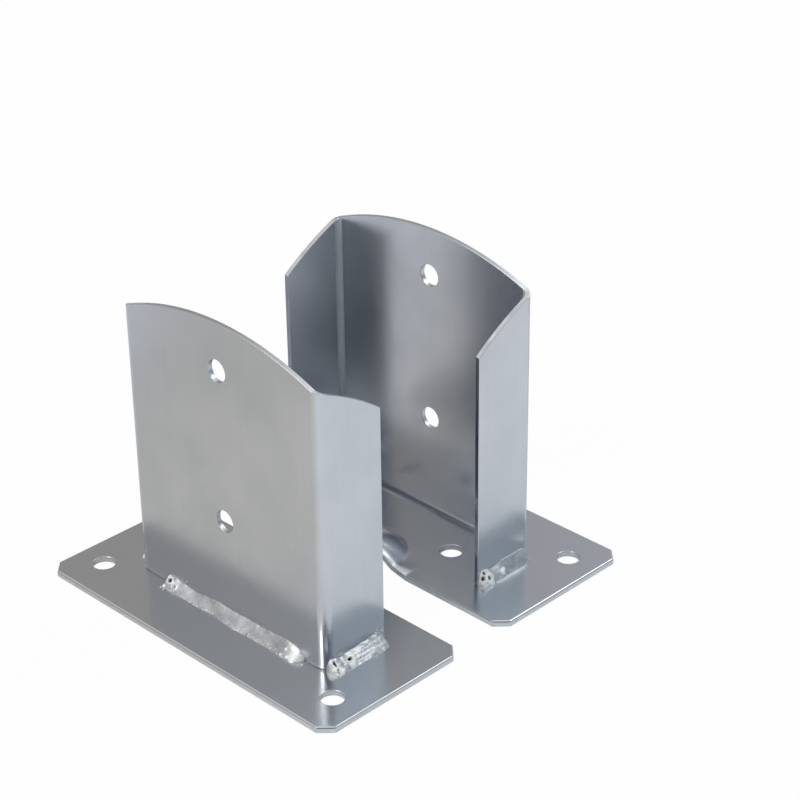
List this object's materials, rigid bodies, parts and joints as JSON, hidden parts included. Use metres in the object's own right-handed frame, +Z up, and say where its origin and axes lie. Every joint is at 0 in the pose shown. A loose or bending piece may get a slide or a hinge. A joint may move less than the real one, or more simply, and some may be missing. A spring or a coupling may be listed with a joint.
{
  "type": "timber post base",
  "caption": "Bolt-down post base in two facing halves: folded U uprights with an arched top, welded to base plates with anchor holes and a pressed drainage dome.",
  "frame": {"origin": "on the ground, midway between the two halves", "axes": "+X along the base plates, +Y from the front half to the rear one, +Z up"},
  "size_m": [0.19, 0.196, 0.154],
  "materials": {
    "plate_steel": "bright zinc plating on hot-rolled steel plate",
    "sheet_steel": "bright zinc plating on cold-rolled sheet",
    "weld_metal": "bright zinc plating over a rippled weld bead"
  },
  "bodies": {
    "root": {"front_base_plate": "plate_steel", "rear_base_plate": "plate_steel", "front_upright": "sheet_steel", "rear_upright": "sheet_steel", "front_web_weld": "weld_metal", "front_left_flange_weld": "weld_metal", "front_right_flange_weld": "weld_metal", "rear_web_weld": "weld_metal", "rear_left_flange_weld": "weld_metal", "rear_right_flange_weld": "weld_metal"}
  },
  "joints": []
}
